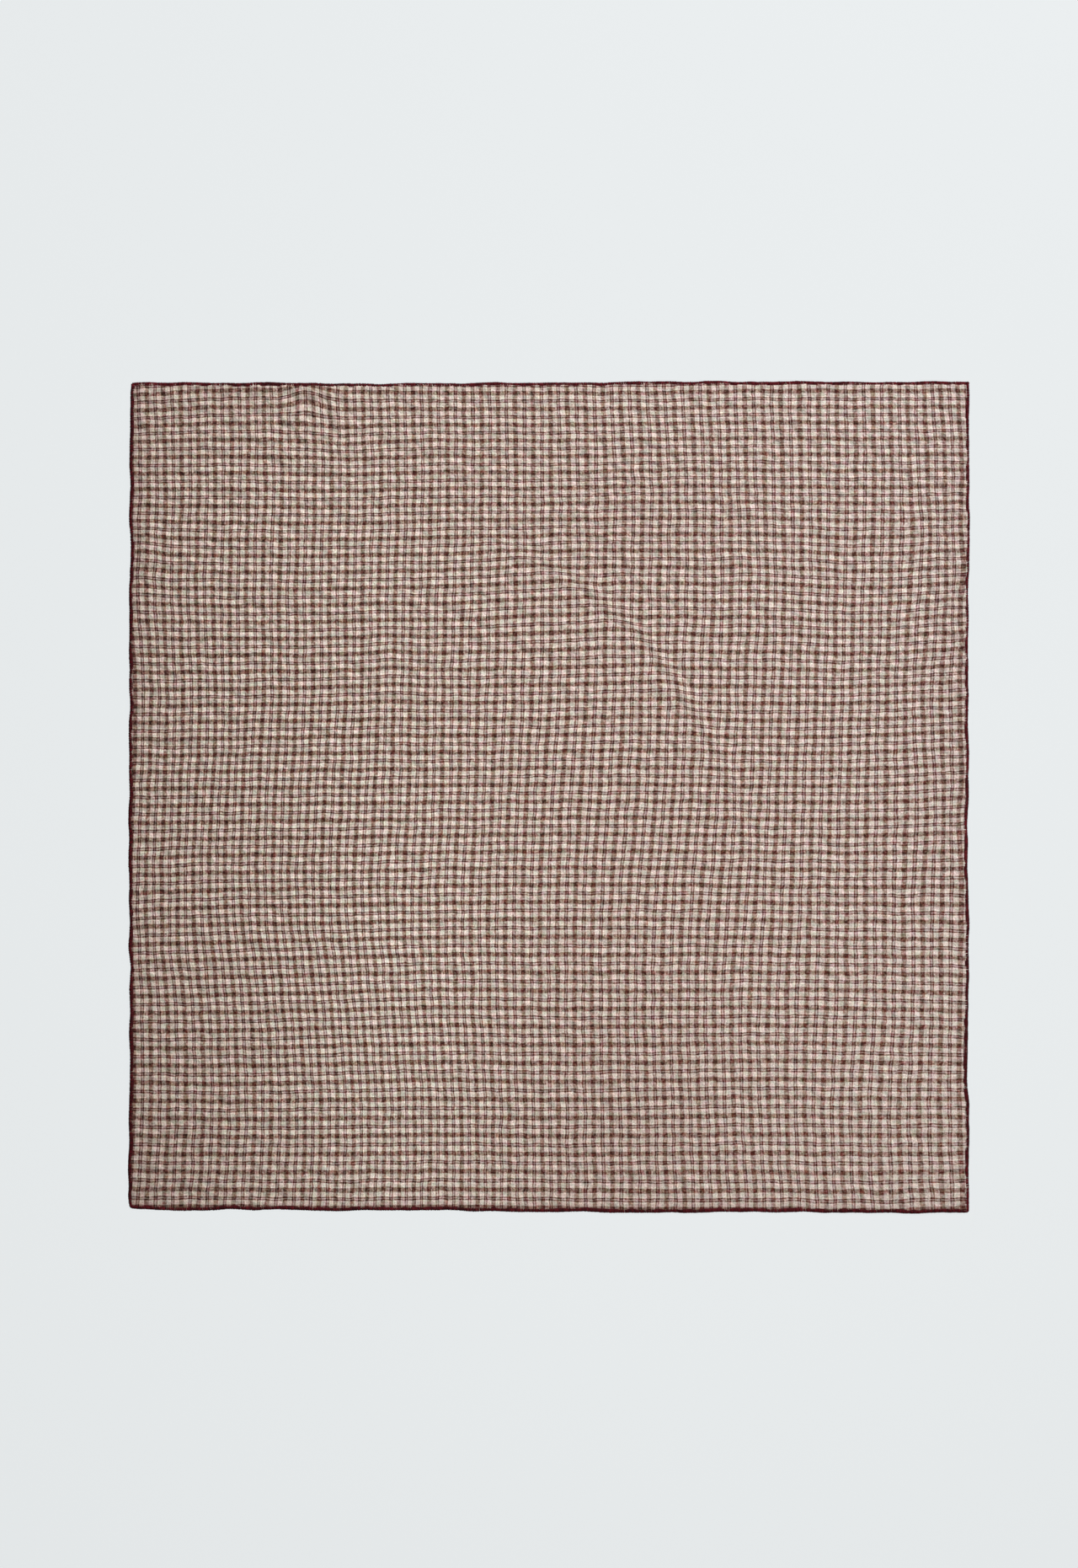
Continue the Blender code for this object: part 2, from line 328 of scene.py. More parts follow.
def raw_place(s, t):
    """Where a point of the cloth lies, as the solid has it: s across from the left hem, t up from the near hem."""
    across, up = s / WIDTH, t / LENGTH
    x, y = s - WIDTH / 2, t - LENGTH / 2
    weight = {
        "near_left": (1 - across) * (1 - up),
        "near_right": across * (1 - up),
        "far_left": (1 - across) * up,
        "far_right": across * up,
    }
    dx = sum(CORNERS[c][0] * w for c, w in weight.items())
    dy = sum(CORNERS[c][1] * w for c, w in weight.items())
    fade = {"left": s, "right": WIDTH - s, "near": t, "far": LENGTH - t}
    keep_x = smooth(np.minimum(t, LENGTH - t) / 30.0)
    keep_y = smooth(np.minimum(s, WIDTH - s) / 30.0)
    dx = dx + drawn_in("left", y) * np.exp(-fade["left"] / 18.0) * keep_x
    dx = dx - drawn_in("right", y) * np.exp(-fade["right"] / 18.0) * keep_x
    dy = dy + drawn_in("near", x) * np.exp(-fade["near"] / 18.0) * keep_y
    dy = dy - drawn_in("far", x) * np.exp(-fade["far"] / 18.0) * keep_y
    for corner, (_, _, pull) in CORNERS.items():
        from_x = fade["left"] if "left" in corner else fade["right"]
        from_y = fade["near"] if "near" in corner else fade["far"]
        near = pull * np.exp(-np.hypot(from_x, from_y) / CORNER_TURN)
        dx = dx + (near if "left" in corner else -near)
        dy = dy + (near if "near" in corner else -near)
    return x + dx, y + dy


def outline():
    a = np.linspace(0, 1, 800)
    s = np.concatenate([a * WIDTH, np.full(800, WIDTH), a[::-1] * WIDTH, np.zeros(800)])
    t = np.concatenate([np.zeros(800), a * LENGTH, np.full(800, LENGTH), a[::-1] * LENGTH])
    return raw_place(s, t)


_outline = outline()
CENTRE_X = (_outline[0].max() + _outline[0].min()) / 2
CENTRE_Y = (_outline[1].max() + _outline[1].min()) / 2


def place_of(s, t):
    x, y = raw_place(s, t)
    x, y = x - CENTRE_X, y - CENTRE_Y
    out = {side: np.interp(y if side in ("left", "right") else x, *np.array(HEM_OUT[side]).T) for side in HEM_OUT}
    x = x - out["left"] * np.exp(-s / 12.0) + out["right"] * np.exp(-(WIDTH - s) / 12.0)
    y = y - out["near"] * np.exp(-t / 12.0) + out["far"] * np.exp(-(LENGTH - t) / 12.0)
    return x, y


def table_at(table, x, y):
    """A table's value at each place, smoothly between its rows and columns."""
    values = np.array(table, float)

    def weights(place, first, last, count):
        f = (place - first) / (last - first) * (count - 1)
        k = np.clip(np.floor(f).astype(int), 0, count - 2)
        u = f - k
        four = (
            (-u + 2 * u**2 - u**3) / 2,
            (2 - 5 * u**2 + 3 * u**3) / 2,
            (u + 4 * u**2 - 3 * u**3) / 2,
            (-(u**2) + u**3) / 2,
        )
        made = np.zeros((place.size, count))
        rows = np.arange(place.size)
        for o, w in enumerate(four):
            i = k + o - 1
            below, above = i < 0, i > count - 1
            mid = ~(below | above)
            np.add.at(made, (rows[mid], i[mid]), w[mid])
            for side, end, next_to in ((below, 0, 1), (above, count - 1, count - 2)):
                np.add.at(made, (rows[side], np.full(side.sum(), end)), 2 * w[side])
                np.add.at(made, (rows[side], np.full(side.sum(), next_to)), -w[side])
        return made

    wx = weights(x.ravel(), LAY_X[0], LAY_X[1], values.shape[1])
    wy = weights(y.ravel(), LAY_Y[0], LAY_Y[1], values.shape[0])
    return np.einsum("ij,jk,ik->i", wy, values, wx).reshape(x.shape)


def spread_waves(x, y, crest, vary, low, high, seed, count=56):
    """Crossing waves with crests about one slant and lengths from low to high: height for a slope of 1."""
    rng = np.random.default_rng(seed)
    total = np.zeros(x.shape)
    for _ in range(count):
        across = math.radians(crest + 90 + rng.normal(0, vary))
        k = 2 * math.pi / math.exp(rng.uniform(math.log(low), math.log(high)))
        total += np.cos(k * (math.cos(across) * x + math.sin(across) * y) + rng.uniform(0, 2 * math.pi)) / k
    return total * math.sqrt(2 / count)


def crease_line():
    return np.concatenate([arc_points(*FOLDS[0][1:4]), arc_points(*FOLDS[1][1:4])[1:]])


def in_cloth(x, y):
    """The place in the cut cloth of each laid place, in millimetres from its left and near edges."""
    across, up = table_at(LAY_ACROSS, x, y), table_at(LAY_UP, x, y)
    for px, py, rx, ry, dx, dy in PULLS:
        near = np.exp(-((x - px) ** 2) / (2 * rx**2) - (y - py) ** 2 / (2 * ry**2))
        across = across + dx * near
        up = up + dy * near
    line = crease_line()
    distance, share = nearest(line, x, y)
    # The far side of the crease is the one on its upper right.
    side = np.sign((x - np.interp(y, line[::-1, 1], line[::-1, 0])))
    d = distance * side / GATHER_REACH
    drawn = -d * np.exp(0.5 - d**2 / 2)
    shares, drawn_x, drawn_y = np.array(CREASE_GATHER).T
    across = across + drawn * np.interp(share, shares, drawn_x)
    up = up + drawn * np.interp(share, shares, drawn_y)
    # Washing leaves every yarn a little wavy.
    across = across + WAVY * spread_waves(x, y, 0, 90, 9.0, 60.0, 41)
    up = up + WAVY * spread_waves(x, y, 0, 90, 9.0, 60.0, 42)
    return (
        ((x - across) / LAID_X + FIRST_X) * REPEAT,
        ((y - up) / LAID_Y + FIRST_Y) * REPEAT,
    )


def crinkle(x, y):
    share = np.clip((x + WIDTH / 2) / WIDTH, 0, 1)
    total = np.zeros(x.shape)
    for i, (low, high, steep, further) in enumerate(CRINKLE):
        for j, (crest, vary, left, right) in enumerate(CRESTS):
            weight = np.sin(0.5 * math.pi * (left + (right - left) * share))
            total += weight * steep * spread_waves(x, y, crest - further, vary, low, high, 100 + 10 * i + j)
    return total


def hem_gather(along, inset):
    """Small gathers that the stitching puts into the cloth beside it."""
    fade = np.exp(-(((inset - 5.0) / 9.0) ** 2)) * smooth(inset / 4.0)
    rng = np.random.default_rng(7)
    total = np.zeros(along.shape)
    for _ in range(24):
        k = 2 * math.pi / (12.0 * math.exp(rng.normal(0, 0.35)))
        total += np.cos(k * along + rng.uniform(0, 2 * math.pi))
    return GATHER_HIGH * fade * total / math.sqrt(12)


# Painted shade: broad patches that make the cloth's colour lighter or darker, in place of light and shade.
def tone_with_painted_shade(x, y):
    total = np.ones(x.shape)
    for px, py, rx, ry, share in PAINTED_SHADE_PATCHES:
        total += share * np.exp(-((x - px) ** 2) / (2 * rx**2) - (y - py) ** 2 / (2 * ry**2))
    return total


def painted_hem_shade(s, t):
    """Painted shade: the cloth's colour is made darker just inside the stitching, most on the near and left sides."""
    total = np.ones(s.shape)
    for inset, share in ((s, 0.28), (WIDTH - s, 0.10), (t, 0.34), (LENGTH - t, 0.14)):
        total -= share * np.exp(-np.maximum(inset - 2.6, 0.0) / 2.8)
    return total


def top_height(x, y, s, t):
    """How high the cloth's upper face lies at each place."""
    from_side, from_end = np.minimum(s, WIDTH - s), np.minimum(t, LENGTH - t)
    inset = np.minimum(from_side, from_end)
    fine = crinkle(x, y)
    fine = fine + hem_gather(y + 0.0 * x, from_side) + hem_gather(x + 50.0, from_end)
    fine = HIGHEST * np.tanh(fine / HIGHEST)
    into_hem = smooth(1 - (inset - 1.5) / 6.0)
    return (MEAN_TOP + FOLD_SHARE * lift(x, y)) + fine * (1 - 0.75 * into_hem)


# ================================================================================================
# meshes
# ================================================================================================
def new_mesh(name, verts, faces, uv_maps=(), smooth_faces=True):
    """verts in millimetres; faces is an array of quads; uv_maps holds (name, value for each vertex)."""
    mesh = bpy.data.meshes.new(name)
    mesh.vertices.add(len(verts))
    mesh.vertices.foreach_set("co", (verts * MM).astype(np.float32).ravel())
    size = faces.shape[1]
    mesh.loops.add(faces.size)
    mesh.loops.foreach_set("vertex_index", faces.astype(np.int32).ravel())
    mesh.polygons.add(len(faces))
    mesh.polygons.foreach_set("loop_start", np.arange(0, faces.size, size, dtype=np.int32))
    mesh.polygons.foreach_set("use_smooth", np.full(len(faces), smooth_faces))
    mesh.update(calc_edges=True)
    mesh.validate()
    for uv_name, values in uv_maps:
        layer = mesh.uv_layers.new(name=uv_name, do_init=False)
        layer.data.foreach_set("uv", values[faces.ravel()].astype(np.float32).ravel())
    made = bpy.data.objects.new(name, mesh)
    bpy.context.scene.collection.objects.link(made)
    return made


def build_cloth():
    columns, rows = 3 * CELLS_X + 1, 3 * CELLS_Y + 1
    s = np.linspace(TUCKED, WIDTH - TUCKED, columns)
    t = np.linspace(TUCKED, LENGTH - TUCKED, rows)
    s, t = np.meshgrid(s, t)
    x, y = place_of(s, t)
    z = top_height(x, y, s, t)
    cs, ct = in_cloth(x, y)
    # The underside follows the lowest places of the upper face round it, one thickness lower.
    lowest = z.copy()
    for axis in (0, 1):
        step = [np.roll(lowest, n, axis) for n in (-3, -2, -1, 1, 2, 3)]
        for n, moved in zip((-3, -2, -1, 1, 2, 3), step):
            edge = [slice(None), slice(None)]
            edge[axis] = slice(n, None) if n < 0 else slice(0, n)
            moved[tuple(edge)] = lowest[tuple(edge)]
        lowest = np.minimum.reduce([lowest, *step])
    under_z = np.maximum(lowest - THICK, 0.02)[::3, ::3]
    upper = np.stack([x, y, z], -1).reshape(-1, 3)
    lower = np.stack([x[::3, ::3], y[::3, ::3], under_z], -1).reshape(-1, 3)
    verts = np.concatenate([upper, lower])
    index = np.arange(rows * columns).reshape(rows, columns)
    below = rows * columns + np.arange(lower.shape[0]).reshape(CELLS_Y + 1, CELLS_X + 1)

    def quads(grid):
        made = [grid[:-1, :-1], grid[:-1, 1:], grid[1:, 1:], grid[1:, :-1]]
        return np.stack(made, -1).reshape(-1, 4)

    def border(grid):
        return np.concatenate([grid[0, :], grid[1:, -1], grid[-1, -2::-1], grid[-2:0:-1, 0]])

    top, under = quads(index), quads(below)[:, ::-1]
    rim, rim_below = border(index), border(below)
    faces = [tuple(f) for f in top.tolist()] + [tuple(f) for f in under.tolist()]
    for i in range(len(rim_below)):
        low, next_low = int(rim_below[i]), int(rim_below[(i + 1) % len(rim_below)])
        a, b, c = (int(rim[3 * i + n]) for n in range(3))
        d = int(rim[(3 * i + 3) % len(rim)])
        faces += [(low, b, a), (low, c, b), (low, next_low, d, c)]
    corner = np.concatenate([np.array(f) for f in faces])
    cloth_uv = np.stack([cs, ct], -1) * MM
    bake_uv = np.stack([0.002 + 0.996 * s / WIDTH, 0.002 + 0.996 * t / LENGTH], -1)
    mesh = bpy.data.meshes.new("scarf_cloth")
    mesh.from_pydata((verts * MM).tolist(), [], faces)
    mesh.polygons.foreach_set("use_smooth", np.ones(len(faces), bool))
    for name, both in (("cloth", cloth_uv), ("OFBake", bake_uv)):
        flat = np.concatenate([both.reshape(-1, 2), both[::3, ::3].reshape(-1, 2)])
        layer = mesh.uv_layers.new(name=name, do_init=False)
        layer.data.foreach_set("uv", flat[corner].astype(np.float32).ravel())
    # Painted shade: the broad patches and the darker strip inside the hem go into the cloth's colour.
    shade = tone_with_painted_shade(x, y) * painted_hem_shade(s, t)
    shade = np.concatenate([shade.ravel(), shade[::3, ::3].ravel()])
    mesh.attributes.new("tone_with_painted_shade", "FLOAT", "POINT").data.foreach_set("value", shade.astype(np.float32))
    stronger = np.ones(x.shape)
    for px, py, rx, ry, share in STRONGER:
        stronger += share * np.exp(-((x - px) ** 2) / (2 * rx**2) - (y - py) ** 2 / (2 * ry**2))
    stronger = np.concatenate([stronger.ravel(), stronger[::3, ::3].ravel()])
    mesh.attributes.new("stronger", "FLOAT", "POINT").data.foreach_set("value", stronger.astype(np.float32))
    # The colour is a little cooler towards the right.
    cooler = 0.045 * verts[:, 0] / WIDTH
    mesh.attributes.new("cooler", "FLOAT", "POINT").data.foreach_set("value", cooler.astype(np.float32))
    mesh.uv_layers["cloth"].active_render = True
    mesh.update()
    made = bpy.data.objects.new("scarf_cloth", mesh)
    bpy.context.scene.collection.objects.link(made)
    return made


# ---- hem ---------------------------------------------------------------------------------------
BEAD_IN = 1.85  # the roll's middle line runs this far in from the outline, where the roll is full
BEAD_WIDE = 1.42  # half width of the full roll under the thread
BEAD_HIGH = 0.62
THREAD_WIDE = 0.56
THREAD_HIGH = 0.34
PITCH = 1.12
SLANT = 0.95
TURN = {"near_left": 2.0, "near_right": 0.9, "far_right": 0.7, "far_left": 1.3}
POINTED = {"near_left": 0.3, "near_right": 0.4, "far_right": 0.8, "far_left": 0.6}  # pushed out at the corner
HEM_FULL = {"left": 0.94, "right": 0.88, "far": 0.80, "near": 1.0}  # width of the roll, as a share
HEM_NARROWS = (
    # side, centre along it, half length, how much narrower the roll is there, as a share
    ("far", -200.0, 140.0, -0.16),
    ("far", 190.0, 60.0, -0.10),
    ("right", 190.0, 160.0, 0.14),
    ("right", -200.0, 150.0, -0.16),
    ("left", -250.0, 90.0, -0.12),
    ("near", -120.0, 60.0, 0.10),
    ("near", 200.0, 90.0, -0.08),
)

HEM_TONES = (
    # side, centre along it, half length, how much lighter the thread is there
    ("far", -200.0, 150.0, -0.30),
    ("right", -200.0, 150.0, -0.38),
    ("left", -240.0, 90.0, -0.12),
    ("near", 30.0, 150.0, -0.08),
)


def hem_line(pitch, jitter=0.0, seed=3):
    """Places along the hem's middle line, anticlockwise: s, t, the tangent and the side's name."""
    rng = np.random.default_rng(seed)
    found = []
    low, high_s, high_t = BEAD_IN, WIDTH - BEAD_IN, LENGTH - BEAD_IN
    legs = (
        ("near", "near_left", "near_right", (low, low), (high_s, low)),
        ("right", "near_right", "far_right", (high_s, low), (high_s, high_t)),
        ("far", "far_right", "far_left", (high_s, high_t), (low, high_t)),
        ("left", "far_left", "near_left", (low, high_t), (low, low)),
    )
    for side, first, last, a, b in legs:
        a, b = np.array(a, float), np.array(b, float)
        way = (b - a) / np.linalg.norm(b - a)
        a, b = a + way * TURN[first], b - way * TURN[last]
        length = np.linalg.norm(b - a)
        count = max(2, round(length / pitch))
        at = (np.arange(count) + 0.5) / count
        if jitter:
            at = at + rng.normal(0, jitter / count, count)
        for u in at:
            found.append((*(a + (b - a) * u), *way, side))
        # round the corner
        radius = TURN[last]
        inward = np.array([-way[1], way[0]])
        centre = b + inward * radius
        turns = max(4, round(radius * math.pi / 2 / (pitch * 0.62)))
        for i in range(turns):
            angle = (i + 0.5) / turns * math.pi / 2
            out = -inward * math.cos(angle) + way * math.sin(angle)
            tangent = way * math.cos(angle) + inward * math.sin(angle)
            reach = radius + POINTED[last] * math.sin(2 * angle) ** 2
            found.append((*(centre + out * reach), *tangent, side))
    return found


def hem_frames(line):
    """Each hem place in the model's frame: middle point, tangent, outward, roll's share of its full width."""
    s = np.array([p[0] for p in line])
    t = np.array([p[1] for p in line])
    ts = np.array([p[2] for p in line])
    tt = np.array([p[3] for p in line])
    out_s, out_t = tt, -ts
    x, y = place_of(s, t)
    x1, y1 = place_of(s + out_s * BEAD_IN, t + out_t * BEAD_IN)
    outward = np.stack([x1 - x, y1 - y], -1)
    reach = np.hypot(outward[:, 0], outward[:, 1])[:, None]
    outward = outward / reach
    tangent = np.stack([-outward[:, 1], outward[:, 0]], -1)
    narrow = np.array([HEM_FULL[p[4]] for p in line])
    for side, centre, half_length, share in HEM_NARROWS:
        along = x if side in ("near", "far") else y
        of_side = np.array([p[4] == side for p in line])
        narrow -= of_side * share * hump(along - centre, half_length)
    # The width changes slowly round a corner, and a narrow stretch of hem still reaches the outline.
    run = np.hypot(np.diff(x, append=x[0]), np.diff(y, append=y[0])).sum() / len(line)
    half = max(1, round(5.0 / run))
    kernel = np.hanning(2 * half + 3)[1:-1]
    wrapped = np.concatenate([narrow[-half:], narrow, narrow[:half]])
    narrow = np.convolve(wrapped, kernel / kernel.sum(), "valid")
    go_out = (1 - narrow) * (BEAD_WIDE + THREAD_HIGH)
    go_out = go_out + 1.0 * spread_waves(x, y, 0, 90, 9.0, 30.0, 61) * EDGE_WAVY
    x = x + outward[:, 0] * go_out
    y = y + outward[:, 1] * go_out
    z = 1.06 + FOLD_SHARE * lift(x, y) + 0.045 * spread_waves(x, y, 0, 90, 8.0, 26.0, 62)
    return x, y, z, tangent, outward, narrow


def build_stitches(material):
    """The oversewing: one flat-lying thread for each stitch, round the roll from the cloth above to the cloth below."""
    rng = np.random.default_rng(11)
    line = hem_line(PITCH, jitter=0.12)
    x, y, z, tangent, outward, narrow = hem_frames(line)
    count = len(line)
    steps, around = 9, 6
    size = 1 + rng.normal(0, 0.05, count)
    slant = SLANT * (1 + rng.normal(0, 0.15, count))
    turn = np.radians(np.linspace(168, -168, steps))
    loose = 1 + rng.normal(0, 0.035, (count, steps))
    wide = BEAD_WIDE * narrow[:, None] * loose
    high = BEAD_HIGH * (0.5 + 0.5 * narrow[:, None]) * loose
    go_out = wide * np.cos(turn)
    go_up = high * np.sin(turn)
    go_on = slant[:, None] * (np.linspace(0, 1, steps) - 0.5) + rng.normal(0, 0.03, (count, steps))
    o3 = np.concatenate([outward, np.zeros((count, 1))], 1)[:, None, :]
    t3 = np.concatenate([tangent, np.zeros((count, 1))], 1)[:, None, :]
    up = np.array([0, 0, 1.0])
    middle = np.stack([x, y, z], -1)[:, None, :]
    path = middle + o3 * go_out[..., None] + up * go_up[..., None] + t3 * go_on[..., None]
    along = np.gradient(path, axis=1)
    along /= np.linalg.norm(along, axis=2, keepdims=True)
    face = o3 * (np.cos(turn) / BEAD_WIDE)[None, :, None] + up * (np.sin(turn) / BEAD_HIGH)[
        None, :, None
    ]
    face -= along * (face * along).sum(2, keepdims=True)
    face /= np.linalg.norm(face, axis=2, keepdims=True)
    aside = np.cross(along, face)
    taper = np.array([0.35, 0.9, 1, 1, 1, 1, 1, 0.9, 0.35])
    ring = np.linspace(0, 2 * math.pi, around, endpoint=False)
    scale = size[:, None] * taper[None, :]
    verts = (
        path[:, :, None, :]
        + face[:, :, None, :]
        * (THREAD_HIGH * scale)[:, :, None, None]
        * np.cos(ring)[None, None, :, None]
        + aside[:, :, None, :]
        * (THREAD_WIDE * scale)[:, :, None, None]
        * np.sin(ring)[None, None, :, None]
    )
    verts[..., 2] = np.maximum(verts[..., 2], 0.03)
    made = []
    sides = np.array([p[4] for p in line])
    for side in ("near", "right", "far", "left"):
        chosen = verts[sides == side]
        n = len(chosen)
        index = np.arange(n * steps * around).reshape(n, steps, around)
        following = np.roll(index, -1, axis=2)
        quads = np.stack(
            [index[:, :-1], following[:, :-1], following[:, 1:], index[:, 1:]], -1
        ).reshape(-1, 4)
        caps = []
        for end, order in ((0, (0, 5, 4, 3, 2, 1)), (steps - 1, (0, 1, 2, 3, 4, 5))):
            ring_points = index[:, end][:, order]
            caps.append(ring_points[:, [0, 1, 2, 3]])
            caps.append(ring_points[:, [0, 3, 4, 5]])
        faces = np.concatenate([quads, *caps])
        # Painted shade: each side's thread is made darker or lighter by how the light falls on that side; the left and
        # near sides are darkest.
        shaded = {"near": -0.18, "right": 0.0, "far": 0.08, "left": -0.25}[side]
        along_side = (x if side in ("near", "far") else y)[sides == side]
        for name, centre, half_length, lighter in HEM_TONES:
            if name == side:
                shaded = shaded + lighter * hump(along_side - centre, half_length)
        tone_with_painted_shade = np.repeat(np.clip(rng.random(n) + shaded, 0, 1), steps * around)
        along_thread = np.tile(np.repeat(np.linspace(0, 1, steps), around), n)
        piece = new_mesh(
            f"hem_stitches_{side}",
            chosen.reshape(-1, 3),
            faces,
            (("thread", np.stack([tone_with_painted_shade, along_thread], -1)),),
        )
        piece.data.materials.append(material)
        made.append(piece)
    return made


def tube_round(name, line, section, material, twist=None):
    """A closed tube along the whole hem. section gives (outwards, up) for each of its sides, for each place."""
    x, y, z, tangent, outward, narrow = hem_frames(line)
    count = len(line)
    offsets = section(narrow)  # count, sides, 2
    sides = offsets.shape[1]
    o3 = np.concatenate([outward, np.zeros((count, 1))], 1)[:, None, :]
    verts = (
        np.stack([x, y, z], -1)[:, None, :]
        + o3 * offsets[..., :1]
        + np.array([0, 0, 1.0]) * offsets[..., 1:]
    )
    verts[..., 2] = np.maximum(verts[..., 2], 0.03)
    index = np.arange(count * sides).reshape(count, sides)
    ahead = np.roll(index, -1, axis=0)
    quads = np.stack(
        [index, ahead, np.roll(ahead, -1, axis=1), np.roll(index, -1, axis=1)], -1
    ).reshape(-1, 4)
    made = new_mesh(name, verts.reshape(-1, 3), quads)
    made.data.materials.append(material)
    return made


def build_roll(material):
    def section(narrow):
        angle = np.linspace(0, 2 * math.pi, 12, endpoint=False)
        wide = 0.93 * BEAD_WIDE * narrow[:, None] * np.cos(angle)
        high = 0.86 * BEAD_HIGH * (0.5 + 0.5 * narrow[:, None]) * np.sin(angle)
        return np.stack([wide, high], -1)

    return tube_round("hem_roll", hem_line(2.6), section, material)


def build_lock_line(material):
    """The straight line of thread that locks the stitches' inner ends, above the cloth."""
    line = hem_line(PITCH / 2)
    count = len(line)
    swell = 1 + 0.30 * np.cos(math.pi * np.arange(count))

    def section(narrow):
        angle = np.linspace(0, 2 * math.pi, 6, endpoint=False)
        out = -(BEAD_WIDE * narrow[:, None] + 0.10) + 0.30 * swell[:, None] * np.cos(angle)
        up = 0.24 + 0.22 * swell[:, None] * np.sin(angle)
        return np.stack([out, np.broadcast_to(up, out.shape)], -1)

    return tube_round("hem_lock_line", line, section, material)


# ================================================================================================
# materials
# ================================================================================================
class Nodes:
    """Short names for building a node tree."""

    def __init__(self, name):
        self.material = bpy.data.materials.new(name)
        self.material.use_nodes = True
        self.tree = self.material.node_tree
        self.shader = self.tree.nodes["Principled BSDF"]

    def link(self, value, socket):
        if isinstance(value, (int, float)):
            socket.default_value = value
        elif isinstance(value, tuple):
            socket.default_value = value if len(value) != 3 or socket.type != "RGBA" else (*value, 1)
        else:
            self.tree.links.new(value, socket)

    def math(self, operation, a, b=None, c=None, clamp=False):
        node = self.tree.nodes.new("ShaderNodeMath")
        node.operation = operation
        node.use_clamp = clamp
        for value, socket in zip((a, b, c), node.inputs):
            if value is not None:
                self.link(value, socket)
        return node.outputs[0]

    def add(self, a, b):
        return self.math("ADD", a, b)

    def mul(self, a, b):
        return self.math("MULTIPLY", a, b)

    def step(self, value, low, high, out_low=0.0, out_high=1.0, kind="SMOOTHSTEP"):
        node = self.tree.nodes.new("ShaderNodeMapRange")
        node.interpolation_type = kind
        self.link(value, node.inputs["Value"])
        node.inputs["From Min"].default_value = low
        node.inputs["From Max"].default_value = high
        node.inputs["To Min"].default_value = out_low
        node.inputs["To Max"].default_value = out_high
        return node.outputs["Result"]

    def uv(self, name):
        node = self.tree.nodes.new("ShaderNodeUVMap")
        node.uv_map = name
        return node.outputs[0]

    def split(self, vector):
        node = self.tree.nodes.new("ShaderNodeSeparateXYZ")
        self.link(vector, node.inputs[0])
        return node.outputs

    def join(self, x, y, z=0.0):
        node = self.tree.nodes.new("ShaderNodeCombineXYZ")
        for value, socket in zip((x, y, z), node.inputs):
            self.link(value, socket)
        return node.outputs[0]

    def noise(self, vector, scale, detail=1.0, roughness=0.5, dims="2D", distortion=0.0):
        node = self.tree.nodes.new("ShaderNodeTexNoise")
        node.noise_dimensions = dims
        self.link(vector, node.inputs["Vector"])
        node.inputs["Scale"].default_value = scale
        node.inputs["Detail"].default_value = detail
        node.inputs["Roughness"].default_value = roughness
        node.inputs["Distortion"].default_value = distortion
        return node.outputs["Fac"]

    def ramp(self, value, stops):
        node = self.tree.nodes.new("ShaderNodeValToRGB")
        elements = node.color_ramp.elements
        while len(elements) < len(stops):
            elements.new(0.5)
        for element, (at, colour) in zip(elements, stops):
            element.position = at
            element.color = (*colour, 1)
        self.link(value, node.inputs[0])
        return node.outputs[0]

    def mix(self, factor, a, b, blend="MIX"):
        node = self.tree.nodes.new("ShaderNodeMix")
        node.data_type = "RGBA"
        node.blend_type = blend
        self.link(factor, node.inputs[0])
        self.link(a, node.inputs[6])
        self.link(b, node.inputs[7])
        return node.outputs[2]

    def bump(self, height, distance, strength=1.0, normal=None):
        node = self.tree.nodes.new("ShaderNodeBump")
        node.inputs["Strength"].default_value = strength
        node.inputs["Distance"].default_value = distance
        self.link(height, node.inputs["Height"])
        if normal is not None:
            self.link(normal, node.inputs["Normal"])
        return node.outputs[0]


def srgb(r, g, b):
    def one(c):
        c /= 255
        return c / 12.92 if c <= 0.04045 else ((c + 0.055) / 1.055) ** 2.4

    return one(r), one(g), one(b)


ECRU = srgb(194, 180, 168)
TAUPE = srgb(143, 119, 106)
DARK = srgb(88, 46, 32)
DARKEST = srgb(60, 24, 15)
PAIR_DYED = 1.07  # the two-yarn lines
GAP_DYED = 0.15  # the single ecru yarn between two dark ones takes on some of their dye


